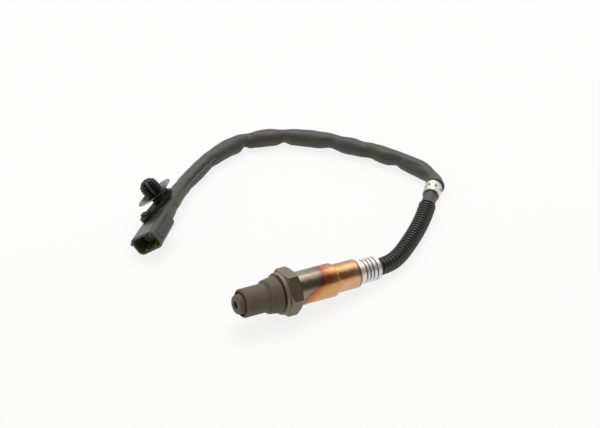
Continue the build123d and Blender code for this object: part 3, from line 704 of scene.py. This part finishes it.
sleeveSetup = {
    # millimetres, the route's points from under the hexagon
    "route": (
        (119.31, 45.427, lay), (121.405, 47.574, lay), (122.9, 50.2, lay), (123.6, 53.1, lay),
        (123.5, 56.1, lay), (122.5, 59.6, lay), (120.6, 64.6, lay), (118.0, 70.4, lay),
        (114.5, 77.3, lay), (109.8, 84.8, lay), (103.8, 93.7, lay), (95.1, 104.9, lay),
        (84.7, 115.0, lay), (71.9, 124.5, lay), (63.4, 128.1, lay), (54.2, 130.7, lay),
        (44.4, 131.3, lay), (35.1, 129.0, lay), (22.9, 124.3, lay), (9.7, 116.8, lay),
        (0.7, 110.6, 5.4), (-6.2, 104.9, 6.9), (-12.485, 98.454, 8.31), (-16.667, 94.882, 8.31),
    ),
    "radius": 4.55, "around": 72, "spacing": 0.45,      # points around, and the step between rings
    # each fold: place along the cable, depth, width, the side it faces in degrees from the
    # outer side over the top, and how far it slants along the cable (millimetres)
    "folds": (
        (10, 1.6, 4.5, 15, 0.0), (30, 1.3, 3.2, 205, 3.0), (51, 0.9, 3.5, 205, -3.0),
        (52, 0.6, 4.0, 40, 3.5), (69, 1.0, 4.0, 205, 4.0), (70, 0.6, 4.0, 30, -2.0),
        (101, 1.4, 2.8, 208, -2.5), (98, 0.7, 3.6, 40, 2.0), (119.5, 1.7, 2.3, 208, 3.0),
        (121, 0.7, 4.0, 35, -3.0), (146, 0.6, 5.0, 200, 4.0), (171, 0.45, 7.0, 190, 4.0),
    ),
    # each crease along the cable: its two ends, depth, half width in degrees, and the side at
    # its two ends
    "creases": ((144, 197, 1.35, 12.5, 136, 143), (12, 40, 0.35, 16.0, 125, 150)),
    "creaseFades": (8.0, 5.0),      # how long a crease takes to open and to close
    # each swelling: place, height, width and the side it faces
    "swellings": (
        (0.8, 1.15, 2.2, 10), (17, 0.55, 8.0, 190), (43, 0.45, 8.0, 200), (61, 0.55, 7.0, 200),
        (83, 0.5, 8.0, 200), (109, 0.65, 7.5, 200), (130, 0.6, 8.0, 195),
    ),
    # fine ripples: a height, and pairs of waves multiplied, each wave with its length, its turns
    # around the cable and its start
    "ripple": 0.08,
    "waves": (((1.7, 2, 0.0), (5.3, -1, 0.0)), ((2.9, -3, 1.0), (7.1, 0, 2.0))),
    "floorGap": 0.03,               # how far it is kept above the floor
}


def sleeveRadius(setup, along, angles):
    # radius - sum over folds of depth * bell((s - place - slant * c) / width) * side
    #        - sum over creases of depth * bell((angle - facing) / half width) * opened
    #        + sum over swellings of height * bell((s - place) / width) * side
    #        + ripple * sum over pairs of sin(s / length + turns * angle + start) multiplied,
    # with c = cos(angle - facing), side = (1 + c) / 2, bell(t) = exp(-t * t), and opened rising
    # from 0 to 1 over a few millimetres at both ends of a crease
    s = along[:, None]
    around = angles[None, :]

    def bell(t):
        return np.exp(-t ** 2)

    def wave(length, turns, start):
        return np.sin(s / length + turns * around + start)

    radius = np.full((len(along), len(angles)), float(setup["radius"]))
    for place, depth, width, facing, slant in setup["folds"]:
        c = np.cos(around - math.radians(facing))
        radius -= depth * bell((s - place - slant * c) / width) * (1 + c) / 2
    opening, closing = setup["creaseFades"]
    for start, end, depth, halfWidth, facingFirst, facingLast in setup["creases"]:
        travel = np.clip((s - start) / (end - start), 0, 1)
        opened = np.clip((s - start) / opening, 0, 1) * np.clip((end - s) / closing, 0, 1)
        facing = facingFirst + (facingLast - facingFirst) * travel
        radius -= depth * opened * bell((np.degrees(around) - facing) / halfWidth)
    for place, height, width, facing in setup["swellings"]:
        c = np.cos(around - math.radians(facing))
        radius += height * bell((s - place) / width) * (1 + c) / 2
    ripples = sum(wave(*first) * wave(*second) for first, second in setup["waves"])
    return radius + setup["ripple"] * ripples


def sleevedCable(setup, web):
    # radius from sleeveRadius on rings along the route, pressed flat where it meets the floor
    line = splineLine("sleeve", setup["route"])
    length = lineLength(line)
    distances = np.linspace(0, length, round(length / (setup["spacing"] * mm)) + 1)
    points, side, rise = alongLine(line, distances)
    angles = np.linspace(0, 2 * np.pi, setup["around"], endpoint=False)
    grid = tubeGrid(points, side, rise, sleeveRadius(setup, distances / mm, angles) * mm, angles)
    grid[:, :, 2] = np.maximum(grid[:, :, 2], setup["floorGap"] * mm)
    piece = gridMesh("cableSleeve", grid, finishes["sleeve"])
    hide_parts("cable_sleeve")
    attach(piece, "root")
    return line


webSetup = {
    "facing": 217.0,                # degrees about the stud, from the connector's length
    "halfWidth": 0.65,              # millimetres, as the rise up the stud and the reach out from it
    "rise": (4.6, 6.0, 8.0, 10.0, 12.0, 13.2, 14.0, 14.6),
    "reach": (4.2, 5.2, 5.5, 5.5, 5.4, 4.9, 4.0, 2.6),
    "squareness": 0.3,              # of the section: 1 is an oval, near 0 a rectangle
    "rings": 40, "around": 32,
}


def studWeb(setup):
    # a web through the stud's fins, its section a squared oval at each rise:
    # foot + rise * up + reach * c * outward + half width * s * sideways,
    # with c and s = sign * |cosine or sine| to the power of the squareness
    foot, lengthwise, up = clipFrame()
    turn = math.radians(setup["facing"])
    outward = lengthwise * math.cos(turn) + up.cross(lengthwise) * math.sin(turn)
    sideways = outward.cross(up)
    rises = np.linspace(setup["rise"][0], setup["rise"][-1], setup["rings"])[:, None]
    reaches = np.interp(rises, setup["rise"], setup["reach"])
    angles = np.linspace(0, 2 * np.pi, setup["around"], endpoint=False)[None, :]
    c = np.sign(np.cos(angles)) * np.abs(np.cos(angles)) ** setup["squareness"]
    s = np.sign(np.sin(angles)) * np.abs(np.sin(angles)) ** setup["squareness"]
    grid = (np.array(foot) + rises[..., None] * np.array(up)
            + (reaches * c)[..., None] * np.array(outward)
            + (setup["halfWidth"] * s + 0 * rises)[..., None] * np.array(sideways))
    piece = gridMesh("studWeb", grid * mm, finishes["web"])
    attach(piece, "root")
    return piece


hoseLine = corrugatedHose(hoseSetup)
print("the hose is", round(lineLength(hoseLine) / mm, 1), "mm long")
sleeveLine = sleevedCable(sleeveSetup, studWeb(webSetup))
print("the sleeved cable is", round(lineLength(sleeveLine) / mm, 1), "mm long")
